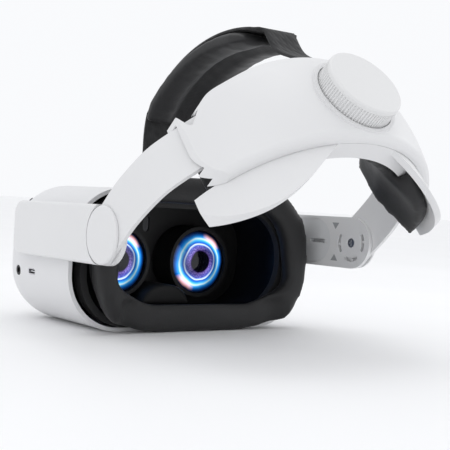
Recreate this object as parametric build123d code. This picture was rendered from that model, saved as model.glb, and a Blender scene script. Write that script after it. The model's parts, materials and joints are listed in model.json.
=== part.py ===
from build123d import *
import math
import os

# A virtual reality headset with a rigid rear strap: the viewer body, its face
# cushion, two hinged side arms, a pair of strap arms and a rear housing whose
# knob winds the two arms in, and a padded strap over the top of the head.
#
# Everything is drawn in the eye frame: its origin is midway between the two
# lenses, +X is the wearer's right, +Y is forward and +Z is up, in millimetres.
# write_nodes() then moves the whole to the row frame, whose origin is on the
# surface the headset stands on, below the middle of its length.

# ---- where the row frame lies -------------------------------------------
EYE_FORWARD = 70.2        # eye frame origin ahead of the row origin
EYE_HEIGHT = 39.5         # eye frame origin above the resting surface
BASE = -EYE_HEIGHT        # resting surface, in the eye frame

# ---- viewer body ---------------------------------------------------------
SHELL_HALF = 87.0         # half width of the white shell
SHELL_TOP = 46.0
SHELL_FRONT = 58.0
SHELL_REAR = -40.0
SHELL_CORNER = 34.5       # corner radius seen from the front
SHELL_NOSE = 29.0         # rounding between the sides and the front face
WALL = 2.4
SHELL_MID = (SHELL_TOP + BASE) / 2
SHELL_TALL = SHELL_TOP - BASE

# ---- optics --------------------------------------------------------------
HALF_IPD = 31.5           # middle of the three lens spacings, halved
LENS_R = 22.0
LENS_EDGE = 2.0
CUP_WALL = 1.6
CUP_REAR = -1.5           # eye-side end of a lens barrel
CUP_FRONT = 27.6
COLLAR_R = 28.4           # collar that covers the gap round a barrel
BEZEL_FRONT = 20.5
BEZEL_REAR = 18.0
BEZEL_HOLE_R = 24.2
SENSOR_Z = 24.0           # the sensor that notices the wearer's brow
LENS_TRAVEL = 2.5         # each lens slides this far either way
SHIELD_WALL = 1.6
SHIELD_FRONT = (79.0, -31.7, 38.2)    # half width, bottom and top where it meets the bezel
SHIELD_REAR = (66.0, -27.2, 36.9)     # the same at the bracket
RAIL_R = 1.5
RAIL_GAP = 0.05           # running clearance of a cup's bushes on the rails
RAIL_Z = 26.0
RAIL_Y = 24.0
RAIL_LUG_X = 66.0         # posts that hold the rails

# ---- face side -----------------------------------------------------------
BRACKET_HALF = 75.0
BRACKET_FRONT = -34.0
BRACKET_SEAT = -42.0
BRACKET_REAR = -47.0
CUSHION_HALF = 77.0
CUSHION_TOP = 54.0
CUSHION_BAND = 15.0       # width of the padded ring
CUSHION_CORNER = 44.0
CUSHION_FRONT = -47.3
CUSHION_REAR = -56.0      # rear face at the middle
FACE_CURVE_R = 740.0      # curve of the cushion's rear face, in plan

# ---- side arms, sleeves and the strap pivot ------------------------------
PIVOT_Y = -88.3
PIVOT_Z = 19.5
ARM_SLOPE = 0.3           # side arms drop towards the front, degrees
ARM_INNER = 87.4          # inner faces of the side arms
ARM_OUTER = 91.1
SLEEVE_OUTER = 93.9
SLEEVE_HALF = 16.3        # half height of a sleeve
SLEEVE_LIP = 2.0
SLEEVE_REACH = 110.0      # pivot to the front end of a sleeve
SEAT_OUTER = 90.0         # outer face of the plate the strap arm turns on
HINGE_REACH = 88.0        # pivot to the hinge on the viewer body
HINGE_R = 4.0
HINGE_GAP = 0.05
ARM_END_REACH = 19.5      # pivot to the rounded rear end of a side arm
STOP_R = 10.7             # radius of the three stop slots
STOP_ANGLES = (35.0, 215.0, 305.0)   # stop pins, round from forward, in the strap frame
STOP_PIN_R = 0.9
STOP_SLOT_HALF = 1.2
BOSS_R = 6.5
CAP_R = 15.9
CAP_OUTER = 94.6
SWING_UP = 20.0           # travel of the strap arms, degrees
SWING_DOWN = 25.0

# ---- strap arms and rear housing, in the strap's own frame ----------------
# u runs back along the strap from its pivot, w is square to it, upwards.
STRAP_TILT = 41.8
STRAP_INNER = 90.15
STRAP_THICK = 2.4
STRAP_HALF = 14.5
ARC_U = 28.0              # centre of the housing's curve, behind the pivot
HOUSING_R = 92.0
HOUSING_TOP = 21.5        # upper edge at the ends
HOUSING_LOW = -27.0
HOUSING_HALF = 79.0
HOUSING_SPLIT_R = 83.7    # housing outside this radius, inner shell inside
SKIN = 2.2
BAND_R = (73.0, 76.0)     # inner shell behind the racks
LOBE_R = (80.0, 83.5)     # inner shell's lobes
PAD_R = 64.5
PAD_SLOPE_FROM = -12.0    # below this the pads' inner face leans back
PAD_LOBE_R = 73.5
PAD_LOW = -45.0
TAIL_R = (80.8, 82.6)     # webbing tail behind its bar
BAR_R = 79.0              # the bar that holds the tail
BAR_W = 26.6
CROWN_TOP = 33.0          # upper edge at the middle

# ---- knob and racks --------------------------------------------------------
KNOB_R = 21.9
KNOB_FACE_U = 129.0
KNOB_BACK_U = 117.4
WELL_R = 22.6
WELL_FLOOR_U = 117.0
KNOB_RIDGES = 80
SHAFT_R = 3.0
SHAFT_GAP = 0.05
PINION_TEETH = 12
MODULE = 1.0
PINION_R = PINION_TEETH * MODULE / 2
TOOTH_SIDE = (            # share of a pitch, and height in modules, round one tooth
    (-0.27, -1.25), (-0.20, 0.0), (-0.10, 0.85),
    (0.10, 0.85), (0.20, 0.0), (0.27, -1.25),
)
RACK_R = (77.6, 80.2)
RACK_TALL = 5.0

# ---- strap over the head -----------------------------------------------------
CROWN_Y = -94.0           # centre of the arch over the head
CROWN_Z = 24.6
CROWN_R = 115.5           # outer face of the strap
PAD_ARC = (37.0, 96.0)    # ends of the top pad, degrees up from forward
TOP_PAD_HALF = 22.0
TOP_PAD_THICK = 12.0
WEB_HALF = 17.0
WEB_THICK = 1.8
NECK_HALF = 11.0          # half width where the webbing goes round its slot
WIDE_END = 97.0           # the wide webbing ends just behind the pad
NECK_BEND = ((-124.0, 126.0), (-123.0, 124.4))   # outer and inner (Y, Z) where it bends
LOOP_Y = -3.0

STRAP = Pos(0, PIVOT_Y, PIVOT_Z) * Rot(-STRAP_TILT, 0, 0)
TEMPLE = Pos(0, PIVOT_Y, PIVOT_Z) * Rot(-ARM_SLOPE, 0, 0)


# ---- small helpers -------------------------------------------------------
def rod(radius, start, end):
    """A round bar from one point to another."""
    line = Vector(*end) - Vector(*start)
    plane = Plane(origin=start, z_dir=line)
    return extrude(plane * Circle(radius), line.length)


def across(face, x_from, x_to):
    """A (Y, Z) outline made into a plate between two X planes."""
    return extrude(Plane.YZ.offset(x_from) * face, x_to - x_from, dir=(1, 0, 0))


def facing(face, y_front, y_rear):
    """An (X, Z) outline made into a slab that runs back from y_front."""
    slab = extrude(face, y_front - y_rear, dir=(0, 0, 1))
    return Pos(0, y_front, 0) * Rot(90, 0, 0) * slab


def block(x, y, z, round_off=0.0):
    """A box between three pairs of limits."""
    size = (x[1] - x[0], y[1] - y[0], z[1] - z[0])
    solid = Pos((x[0] + x[1]) / 2, (y[0] + y[1]) / 2, (z[0] + z[1]) / 2) * Box(*size)
    if round_off:
        solid = fillet(solid.edges(), round_off)
    return solid


def mirrored(solid):
    """The same piece on the wearer's left."""
    return mirror(solid, Plane.YZ)


def outline(*edges):
    """A face inside a closed run of edges."""
    return make_face(Wire(edges))


# ---- viewer body ------------------------------------------------------------
def shell_form(inset):
    """The white shell's outer form, or the same drawn in by inset."""
    corner = SHELL_CORNER - inset
    face = Pos(0, SHELL_MID) * RectangleRounded(
        2 * (SHELL_HALF - inset), SHELL_TALL - 2 * inset, corner
    )
    rear = SHELL_REAR - inset
    form = facing(face, SHELL_FRONT - inset, rear)
    front_edges = form.edges().group_by(Axis.Y)[-1]
    return fillet(front_edges, SHELL_NOSE - inset)


JACK = (-SHELL_HALF, 26.5, -8.5)
USB = (-SHELL_HALF, 7.4, -7.8)
POWER = (SHELL_HALF, 8.0, -9.0)
ROCKER = (26.0, 1.0, BASE)
ROCKER_INSET = 0.7        # the rocker's face lies above the resting surface
HINGE_Y = PIVOT_Y + HINGE_REACH * math.cos(math.radians(ARM_SLOPE))
HINGE_Z = PIVOT_Z - HINGE_REACH * math.sin(math.radians(ARM_SLOPE))
CAMERA_R = 4.6
CAMERA_UPPER = ((74.5, 42.5, 33.0), (0.62, 0.66, 0.42))
CAMERA_LOWER = ((60.0, 49.5, -26.0), (0.35, 0.85, -0.40))


def camera_bar(place, radius, inner, outer):
    """A bar through the shell at a camera, from inner to outer along its sight."""
    spot, sight = place
    sight = Vector(*sight).normalized()
    start = Vector(*spot) + sight * inner
    end = Vector(*spot) + sight * outer
    return rod(radius, (start.X, start.Y, start.Z), (end.X, end.Y, end.Z))


def front_shell():
    shell = shell_form(0) - shell_form(WALL)
    for side in (1, -1):
        pin_start = (side * (SHELL_HALF - 8), HINGE_Y, HINGE_Z)
        pin_end = (side * (SHELL_HALF + 2), HINGE_Y, HINGE_Z)
        boss_start = (side * (SHELL_HALF - 5), HINGE_Y, HINGE_Z)
        boss = rod(HINGE_R + 3, boss_start, (side * (SHELL_HALF - 1), HINGE_Y, HINGE_Z))
        shell = shell + boss - rod(HINGE_R, pin_start, pin_end)
    for place in (CAMERA_UPPER, CAMERA_LOWER):
        hole = camera_bar(place, CAMERA_R + 0.1, -14, 12)
        shell = shell - hole - mirrored(hole)
    x_out = SHELL_HALF + 1
    jack_hole = rod(3.2, (-x_out, JACK[1], JACK[2]), (-x_out + 6, JACK[1], JACK[2]))
    usb_hole = across(Pos(USB[1], USB[2]) * SlotOverall(9.6, 3.8), -x_out, -x_out + 6)
    power_hole = across(Pos(POWER[1], POWER[2]) * SlotOverall(12.4, 4.4), x_out - 6, x_out)
    led_hole = rod(0.8, (x_out - 6, POWER[1] - 11, POWER[2]), (x_out, POWER[1] - 11, POWER[2]))
    rocker_face = Pos(ROCKER[0], ROCKER[1]) * SlotOverall(24.6, 6.6)
    rocker_hole = Pos(0, 0, BASE - 1) * extrude(rocker_face, 6)
    loop_cut = block((-20.5, 20.5), (LOOP_Y - 4.5, LOOP_Y + 4.5), (SHELL_TOP - 1.2, SHELL_TOP + 1))
    return shell - jack_hole - usb_hole - power_hole - led_hole - rocker_hole - loop_cut


def jack_socket():
    x = -SHELL_HALF
    body = rod(3.15, (x + 0.4, JACK[1], JACK[2]), (x + 16, JACK[1], JACK[2]))
    return body - rod(1.75, (x - 1, JACK[1], JACK[2]), (x + 14.4, JACK[1], JACK[2]))


def usb_socket():
    x = -SHELL_HALF
    place = Pos(USB[1], USB[2])
    body = across(place * SlotOverall(9.4, 3.6), x + 0.15, x + 7)
    mouth = across(place * SlotOverall(8.4, 2.6), x - 1, x + 5.5)
    tongue = across(place * Rectangle(6.4, 0.7), x + 1.0, x + 5.5)
    return body - mouth + tongue


def power_button():
    place = Pos(POWER[1], POWER[2])
    x = SHELL_HALF
    cap = across(place * SlotOverall(12.0, 4.0), x - 3.4, x + 0.3)
    flange = across(place * SlotOverall(15.0, 7.0), x - 4.9, x - 3.4)
    return cap + flange


def power_led():
    y = POWER[1] - 11
    return rod(0.8, (SHELL_HALF - 4, y, POWER[2]), (SHELL_HALF, y, POWER[2]))


def volume_rocker():
    place = Pos(ROCKER[0], ROCKER[1])
    cap = Pos(0, 0, BASE + ROCKER_INSET) * extrude(place * SlotOverall(24.0, 6.0), 3.0)
    axle_z = BASE + 5.0
    web = Pos(ROCKER[0], ROCKER[1], BASE + 4.2) * Box(4.0, 4.0, 2.4)
    axle = rod(1.0, (ROCKER[0], ROCKER[1] - 4.5, axle_z), (ROCKER[0], ROCKER[1] + 4.5, axle_z))
    return cap + web + axle


def rocker_cradle():
    """Two small posts inside the shell that the rocker's axle turns in."""
    axle_z = BASE + 5.0
    post = Pos(ROCKER[0], ROCKER[1] + 5.4, BASE + WALL + 2.2) * Box(6.0, 2.0, 4.4)
    posts = post + Pos(0, -10.8, 0) * post
    return posts - rod(1.05, (ROCKER[0], ROCKER[1] - 7, axle_z), (ROCKER[0], ROCKER[1] + 7, axle_z))


def tracking_cameras(place):
    camera = camera_bar(place, CAMERA_R, -9.0, -0.6)
    return camera + mirrored(camera)


def proximity_sensor():
    face = Pos(0, SENSOR_Z) * SlotOverall(10.8, 4.8, rotation=90)
    return facing(face, BEZEL_FRONT, BEZEL_REAR + 0.8)


def rear_bezel():
    """The plate round the lenses, with the sensor's hole between them."""
    inset = WALL + 0.1
    corner = SHELL_CORNER - inset
    face = Pos(0, SHELL_MID) * RectangleRounded(2 * (SHELL_HALF - inset), SHELL_TALL - 2 * inset, corner)
    hole = SlotOverall(2 * (BEZEL_HOLE_R + LENS_TRAVEL + 0.2), 2 * BEZEL_HOLE_R)
    for side in (1, -1):
        face = face - Pos(side * HALF_IPD, 0) * hole
    face = face - Pos(0, SENSOR_Z) * SlotOverall(11, 5, rotation=90)
    return facing(face, BEZEL_FRONT, BEZEL_REAR)


def shield_section(y, size, inset):
    """The light shield's outline at y, or the same drawn in by inset."""
    half, low, high = size
    corner = (high - low) / 2 - 6 - inset
    plane = Plane(origin=(0, y, (low + high) / 2), x_dir=(1, 0, 0), z_dir=(0, -1, 0))
    return plane * RectangleRounded(2 * (half - inset), high - low - 2 * inset, corner)


def light_shield():
    """A black tapered tunnel from the bezel to the bracket the cushion sits on."""
    front = BEZEL_REAR - 0.2
    rear = BRACKET_SEAT + 0.2
    outer = loft([shield_section(front, SHIELD_FRONT, 0), shield_section(rear, SHIELD_REAR, 0)])
    inner = loft([
        shield_section(front + 1, SHIELD_FRONT, SHIELD_WALL),
        shield_section(rear - 1, SHIELD_REAR, SHIELD_WALL),
    ])
    return outer - inner


def lens_cup():
    """The right lens barrel: it carries the lens and slides on two rails."""
    barrel_r = LENS_R + CUP_WALL
    cup = rod(barrel_r, (0, CUP_REAR, 0), (0, CUP_FRONT, 0))
    cup = cup + rod(COLLAR_R, (0, BEZEL_FRONT + 0.3, 0), (0, BEZEL_FRONT + 1.3, 0))
    for z in (RAIL_Z, -RAIL_Z):
        cup = cup + rod(RAIL_R + 1.9, (-9, RAIL_Y, z), (9, RAIL_Y, z))
    bore = rod(LENS_R, (0, 1, 0), (0, CUP_FRONT + 1, 0))
    lip = rod(LENS_R - 0.8, (0, CUP_REAR - 1, 0), (0, 2, 0))
    cup = cup - bore - lip
    for z in (RAIL_Z, -RAIL_Z):
        cup = cup - rod(RAIL_R + RAIL_GAP, (-20, RAIL_Y, z), (20, RAIL_Y, z))
    return Pos(HALF_IPD, 0, 0) * cup


def lens():
    """A plano-convex lens, its dome towards the eye."""
    dome_r = 62.0
    sag = dome_r - math.sqrt(dome_r**2 - (LENS_R - 1.2) ** 2)
    disc = rod(LENS_R - 0.05, (0, 1.0, 0), (0, 1.0 + LENS_EDGE, 0))
    ball = Pos(0, 1.0 + dome_r - sag, 0) * Sphere(dome_r)
    dome = ball & rod(LENS_R - 1.2, (0, 1.0 - sag - 1, 0), (0, 1.5, 0))
    return Pos(HALF_IPD, 0, 0) * (disc + dome)


def ipd_rail(z):
    half = RAIL_LUG_X + 4
    return rod(RAIL_R, (-half, RAIL_Y, z), (half, RAIL_Y, z))


FRAME_Y = (31.0, 33.0)    # rear and front of the internal frame's plate
DISPLAY_Y = (28.4, 30.4)
BOARD_Y = (34.0, 35.4)
SINK_Y = (35.6, 37.0, 40.6)    # back, base and fin tips of the heat sink
FAN_Y = (41.0, 49.6)
BATTERY_Y = (37.0, 49.0)


def mid_frame():
    inset = WALL + 0.5
    face = RectangleRounded(2 * (SHELL_HALF - inset), SHELL_TALL - 2 * inset, SHELL_CORNER - inset)
    plate = facing(Pos(0, SHELL_MID) * face, FRAME_Y[1], FRAME_Y[0])
    window = facing(Rectangle(120, 58), FRAME_Y[1] + 1, FRAME_Y[0] - 1)
    frame = plate - window
    for x in (RAIL_LUG_X, -RAIL_LUG_X):
        for z in (RAIL_Z, -RAIL_Z):
            lug = block((x - 2.5, x + 2.5), (RAIL_Y - 3.4, FRAME_Y[0] + 0.5), (z - 3.5, z + 3.5))
            frame = frame + lug
    for z in (RAIL_Z, -RAIL_Z):
        frame = frame - rod(RAIL_R, (-90, RAIL_Y, z), (90, RAIL_Y, z))
    return frame


def board_outline(width, tall, y_front, y_rear, at=(0, 0)):
    return facing(Pos(*at) * RectangleRounded(width, tall, 2), y_front, y_rear)


def heat_sink():
    base = board_outline(56, 46, SINK_Y[1], SINK_Y[0], (34, 2))
    for index in range(12):
        x = 9.0 + index * 4.5
        base = base + block((x, x + 1.2), (SINK_Y[1], SINK_Y[2]), (-19, 23))
    return base


FAN_AT = (34.0, 2.0)
FAN_R = 17.0


def fan_housing():
    ring = Pos(*FAN_AT) * (RectangleRounded(44, 44, 4) - Circle(FAN_R + 1.2))
    walls = facing(ring, FAN_Y[1], FAN_Y[0])
    spokes = Pos(*FAN_AT) * (Rectangle(44, 2.4) + Rectangle(2.4, 44) + Circle(6))
    floor = facing(spokes & (Pos(*FAN_AT) * Rectangle(43.5, 43.5)), FAN_Y[0] + 1, FAN_Y[0])
    pin = rod(1.0, (FAN_AT[0], FAN_Y[0] + 0.5, FAN_AT[1]), (FAN_AT[0], FAN_Y[0] + 7, FAN_AT[1]))
    return walls + floor + pin


def fan_rotor():
    x, z = FAN_AT
    rear = FAN_Y[0]
    hub = rod(6.5, (x, rear + 1.6, z), (x, rear + 8.0, z))
    for index in range(9):
        blade = block((6.0, FAN_R), (rear + 2.0, rear + 7.4), (-0.6, 0.6))
        hub = hub + Pos(x, 0, z) * Rot(0, index * 40, 0) * blade
    return hub - rod(1.05, (x, rear + 1.0, z), (x, rear + 7.3, z))


# ---- face side ------------------------------------------------------------------
def ring_face(half, low, high, corner, band):
    middle = (low + high) / 2
    outer = RectangleRounded(2 * half, high - low, corner)
    inner = RectangleRounded(2 * (half - band), high - low - 2 * band, corner - band)
    return Pos(0, middle) * (outer - inner)


def face_bracket():
    low = BASE + WALL + 0.2
    high = SHELL_TOP - WALL - 0.2
    wall = facing(ring_face(BRACKET_HALF + 5, low, high, 32, 4.0), BRACKET_FRONT, BRACKET_SEAT)
    seat_face = ring_face(BRACKET_HALF, low - 0.8, high + 4, CUSHION_CORNER - 2.5, 12.0)
    return wall + facing(seat_face, BRACKET_SEAT, BRACKET_REAR)


def face_cushion():
    ring = ring_face(CUSHION_HALF, BASE, CUSHION_TOP, CUSHION_CORNER, CUSHION_BAND)
    band = facing(ring, CUSHION_FRONT, CUSHION_REAR - 5)
    curve = Pos(0, CUSHION_REAR - FACE_CURVE_R, 0) * Cylinder(FACE_CURVE_R, 160)
    return band - curve


def nose_rest():
    """The soft hump over the wearer's nose, in front of the bezel's lower middle."""
    face = Pos(0, -27.0) * Ellipse(18, 13) & Pos(0, -20.0) * Rectangle(40, 14)
    return facing(face, BEZEL_REAR - 0.2, -12.0)


def top_strap_loop():
    """The bar on top of the shell that the front webbing goes around."""
    z = SHELL_TOP - 1.2
    foot = block((16.5, 20.5), (LOOP_Y - 4.5, LOOP_Y + 4.5), (z, z + 4.5))
    bar = block((-20.5, 20.5), (LOOP_Y - 1.3, LOOP_Y + 1.3), (z + 3.4, z + 6.0), 0.6)
    return foot + mirrored(foot) + bar


# ---- side arms and sleeves, drawn with the pivot at their origin --------------
def arm_face(rear, front, half, corner):
    """A flat bar outline: a round rear end at rear, a squarer front end."""
    bend = front - corner
    return outline(
        Line((bend, half), (rear, half)),
        ThreePointArc((rear, half), (rear - half, 0), (rear, -half)),
        Line((rear, -half), (bend, -half)),
        CenterArc((bend, corner - half), corner, -90, 90),
        Line((front, corner - half), (front, half - corner)),
        CenterArc((bend, half - corner), corner, 0, 90),
    )


def hinge_bar(radius, x_from, x_to):
    return rod(radius, (x_from, HINGE_REACH, 0), (x_to, HINGE_REACH, 0))


def side_arm():
    half = SLEEVE_HALF - SLEEVE_LIP - 0.2
    front = SLEEVE_REACH - SLEEVE_LIP - 0.2
    face = arm_face(ARM_END_REACH + half, front, half, 7.0)
    bar = across(face, ARM_INNER, ARM_OUTER)
    bar = bar - hinge_bar(HINGE_R + HINGE_GAP, ARM_INNER - 1, ARM_OUTER + 1)
    bar = bar - hinge_bar(7.0, 89.6, ARM_OUTER + 1)
    catch = across(Pos(ARM_END_REACH + 12.5, 0) * Rectangle(14.0, 2.6), ARM_INNER - 1, ARM_OUTER + 1)
    speaker_bay = across(Pos(62, 0) * RectangleRounded(30, 12, 3), ARM_INNER + 0.7, ARM_OUTER + 1)
    return bar - catch - speaker_bay


def speaker():
    return across(Pos(62, 0) * RectangleRounded(29, 11, 3), ARM_INNER + 0.9, ARM_OUTER - 0.2)


def stop_slots(half_width):
    """Three arcs round the pivot that the strap arm's stop pins run in."""
    slots = None
    rest = STRAP_TILT - ARM_SLOPE
    for centre in STOP_ANGLES:
        start = centre - rest - SWING_UP - 3
        sweep = SWING_UP + SWING_DOWN + 6
        path = CenterArc((0, 0), STOP_R, start, sweep)
        slot = SlotArc(path, 2 * half_width)
        slots = slot if slots is None else slots + slot
    return slots


def temple_sleeve():
    face = arm_face(0, SLEEVE_REACH, SLEEVE_HALF, 9.0)
    form = across(face, ARM_INNER, SLEEVE_OUTER)
    half = SLEEVE_HALF - SLEEVE_LIP
    bay_face = arm_face(ARM_END_REACH + half, SLEEVE_REACH - SLEEVE_LIP, half, 7.2)
    bay = across(bay_face, ARM_INNER - 1, ARM_OUTER + 0.1)
    rim = fillet(form.faces().sort_by(Axis.X)[-1].edges(), 1.6)
    turning = across(Circle(SLEEVE_HALF + 0.6), SEAT_OUTER, SLEEVE_OUTER + 1)
    swing_room = None
    for swing in (-SWING_UP, -SWING_UP / 2, 0.0, SWING_DOWN):
        turn = Rot(0, 0, swing - STRAP_TILT + ARM_SLOPE)
        band = turn * Pos(-20, 0) * Rectangle(40, 2 * STRAP_HALF + 0.6)
        room = across(band, SEAT_OUTER, SLEEVE_OUTER + 1)
        swing_room = room if swing_room is None else swing_room + room
    screw_hole = rod(1.6, (ARM_INNER - 1, 0, 0), (SEAT_OUTER + 1, 0, 0))
    head_hole = rod(3.0, (ARM_INNER - 1, 0, 0), (ARM_INNER + 1.0, 0, 0))
    slots = across(stop_slots(STOP_SLOT_HALF), ARM_INNER - 1, SEAT_OUTER + 1)
    return rim - bay - turning - swing_room - screw_hole - head_hole - slots


def pivot_cap():
    dome = rod(CAP_R, (CAP_OUTER - 1.9, 0, 0), (CAP_OUTER, 0, 0))
    dome = fillet(dome.edges().sort_by(Axis.X)[-1], 1.2)
    boss = rod(BOSS_R, (SEAT_OUTER, 0, 0), (CAP_OUTER - 1.8, 0, 0))
    thread = rod(1.2, (SEAT_OUTER - 1, 0, 0), (CAP_OUTER - 1.5, 0, 0))
    return dome + boss - thread


def pivot_screw():
    head = rod(2.9, (ARM_INNER + 0.1, 0, 0), (ARM_INNER + 1.0, 0, 0))
    shank = rod(1.2, (ARM_INNER + 1.0, 0, 0), (CAP_OUTER - 1.6, 0, 0))
    cross = block((ARM_INNER - 1, ARM_INNER + 0.5), (-1.8, 1.8), (-0.35, 0.35))
    return head + shank - cross - Rot(90, 0, 0) * cross


def hinge_pin():
    pin = hinge_bar(HINGE_R, SHELL_HALF - 7, 90.0)
    head = hinge_bar(6.6, 89.7, 90.9)
    return pin + head


# ---- strap arm, in the strap's own frame -------------------------------------
def bar_u(radius, u_from, u_to, x=0.0, w=0.0):
    """A round bar along u."""
    return rod(radius, (x, -u_from, w), (x, -u_to, w))


def strap_arm():
    """A flat band that starts round the pivot and bends in to the housing."""
    outer = STRAP_INNER + STRAP_THICK
    bend = [(outer, 20), (90.6, 38), (86.4, 54), (79.6, 66.5), (71.6, 79), (60.3, 92)]
    outside = Spline(*[(x, -u) for x, u in bend], tangents=[(0, -1), (-0.7, -0.72)])
    inside_points = []
    for step in range(11):
        along = outside % (step / 10)
        inside_points.append(outside @ (step / 10) + Vector(along.Y, -along.X) * STRAP_THICK)
    inside = Spline(*inside_points)
    root = -STRAP_HALF - 6
    plan = outline(
        Line((STRAP_INNER, -root), (outer, -root)),
        Line((outer, -root), outside @ 0),
        outside,
        Line(outside @ 1, inside @ 1),
        inside,
        Line(inside @ 0, (STRAP_INNER, -root)),
    )
    band = Pos(0, 0, -STRAP_HALF) * extrude(plan, 2 * STRAP_HALF, dir=(0, 0, 1))
    side_view = Circle(CAP_R) + Pos(-60, 0) * Rectangle(120, 2 * STRAP_HALF)
    tip_cut = Pos(-92, 0) * RectangleRounded(184, 2 * STRAP_HALF, 6)
    side_view = side_view & (tip_cut + Circle(CAP_R))
    band = band & across(side_view, 50, 100)
    arm = band - rod(BOSS_R + 0.05, (80, 0, 0), (100, 0, 0))
    for angle in STOP_ANGLES:
        y = STOP_R * math.cos(math.radians(angle))
        z = STOP_R * math.sin(math.radians(angle))
        arm = arm + rod(STOP_PIN_R, (ARM_INNER + 0.4, y, z), (STRAP_INNER + 1, y, z))
    return arm


# ---- rear housing, in the strap's own frame ------------------------------------
def sector(profile, half_angle):
    """A (radius, w) profile turned about the housing's centre, centred on the back."""
    ring = revolve(Plane.XZ * profile, Axis.Z, 2 * half_angle)
    return Pos(0, -ARC_U, 0) * Rot(0, 0, -90 - half_angle) * ring


def band_profile(radii, low, high):
    middle = ((radii[0] + radii[1]) / 2, (low + high) / 2)
    return Pos(*middle) * Rectangle(radii[1] - radii[0], high - low)


def panel(half, low, high, corner_x, corner_w):
    """A rear-view outline with long rounded ends."""
    right = half - corner_x
    low_w = low + corner_w
    high_w = high - corner_w
    return outline(
        Line((-right, low), (right, low)),
        EllipticalCenterArc((right, low_w), corner_x, corner_w, -90, arc_size=90),
        Line((half, low_w), (half, high_w)),
        EllipticalCenterArc((right, high_w), corner_x, corner_w, 0, arc_size=90),
        Line((right, high), (-right, high)),
        EllipticalCenterArc((-right, high_w), corner_x, corner_w, 90, arc_size=90),
        Line((-half, high_w), (-half, low_w)),
        EllipticalCenterArc((-right, low_w), corner_x, corner_w, 180, arc_size=90),
    )


def rear_prism(face):
    """A rear-view outline run through the whole depth of the housing."""
    return facing(face, -20.0, -160.0)


SCREW_PLACES = ((-21.0, 14.9), (21.0, 14.9), (-21.0, -17.5), (21.0, -17.5))


def radial_bar(radius, r_from, r_to, angle, w):
    turn = math.radians(angle)
    start = (r_from * math.sin(turn), -ARC_U - r_from * math.cos(turn), w)
    end = (r_to * math.sin(turn), -ARC_U - r_to * math.cos(turn), w)
    return rod(radius, start, end)


HOUSING_EDGE = ((79.0, -4.0), (77.0, 9.0), (70.0, 18.5), (60.0, 24.2), (45.0, 28.6), (22.0, 32.0))


def housing_face():
    """The housing seen from behind: a level foot and a long rise to the middle."""
    low = HOUSING_LOW - 1
    right = HOUSING_HALF - 14.0
    corner_w = HOUSING_EDGE[0][1] - low
    rise = list(HOUSING_EDGE) + [(0.0, CROWN_TOP)] + [(-x, w) for x, w in reversed(HOUSING_EDGE)]
    return outline(
        Line((-right, low), (right, low)),
        EllipticalCenterArc((right, low + corner_w), 14.0, corner_w, -90, arc_size=90),
        Spline(*rise, tangents=[(0, 1), (0, -1)]),
        EllipticalCenterArc((-right, low + corner_w), 14.0, corner_w, 180, arc_size=90),
    )


def outer_housing():
    low_bend = [
        (HOUSING_R - 6.4, HOUSING_LOW),
        (HOUSING_R - 3.4, HOUSING_LOW + 1.4),
        (HOUSING_R - 1.9, HOUSING_LOW + 4.8),
    ]
    shoulder = (HOUSING_R - 1.9, HOUSING_TOP - 1.0)
    brow = (HOUSING_R - 6.8, CROWN_TOP + 0.5)
    back = outline(
        Line((HOUSING_SPLIT_R, HOUSING_LOW), low_bend[0]),
        ThreePointArc(*low_bend),
        ThreePointArc(low_bend[2], (HOUSING_R, -2.0), shoulder),
        ThreePointArc(shoulder, (HOUSING_R - 3.7, HOUSING_TOP + 5.4), brow),
        Line(brow, (HOUSING_SPLIT_R, CROWN_TOP + 0.5)),
        Line((HOUSING_SPLIT_R, CROWN_TOP + 0.5), (HOUSING_SPLIT_R, HOUSING_LOW)),
    )
    form = sector(back, 66) & rear_prism(housing_face())
    room = sector(band_profile((70, HOUSING_R - 3.2 - SKIN), HOUSING_LOW + SKIN, HOUSING_TOP - SKIN), 80)
    deep = sector(band_profile((70, HOUSING_R - SKIN), -17, 16), 80)
    inner_end = rear_prism(panel(HOUSING_HALF + 5, HOUSING_LOW + SKIN, HOUSING_TOP - SKIN, 14 + 5, 18))
    mouth = sector(band_profile((70, HOUSING_R - SKIN), -STRAP_HALF - 0.4, STRAP_HALF + 0.4), 80)
    housing = form - ((room + deep) & inner_end) - mouth
    housing = housing + bar_u(WELL_R + 2.2, WELL_FLOOR_U - 2.6, WELL_FLOOR_U + 1.5)
    housing = housing - bar_u(WELL_R, WELL_FLOOR_U, KNOB_FACE_U + 5)
    for angle, w in SCREW_PLACES:
        post = radial_bar(2.6, BAND_R[1], HOUSING_R - 4, angle, w)
        housing = housing + post - radial_bar(1.2, BAND_R[1] - 1, BAND_R[1] + 9, angle, w)
    return housing - bar_u(SHAFT_R + 2.4, 110, KNOB_BACK_U)


LOBE_POINTS = (
    (-79.0, -20.0), (-78.5, -27.0), (-75.5, -38.0), (-69.5, -46.0), (-60.0, -50.0),
    (-48.5, -47.6), (-37.0, -40.5), (-27.5, -33.0), (-18.0, -25.5),
)


def lobe_face():
    """Rear-view outline of the left lobe, its top hidden inside the housing."""
    edge = Spline(*LOBE_POINTS)
    return outline(
        edge,
        Line(LOBE_POINTS[-1], (LOBE_POINTS[-1][0], -20.0)),
        Line((LOBE_POINTS[-1][0], -20.0), (LOBE_POINTS[0][0], -20.0)),
    )


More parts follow.
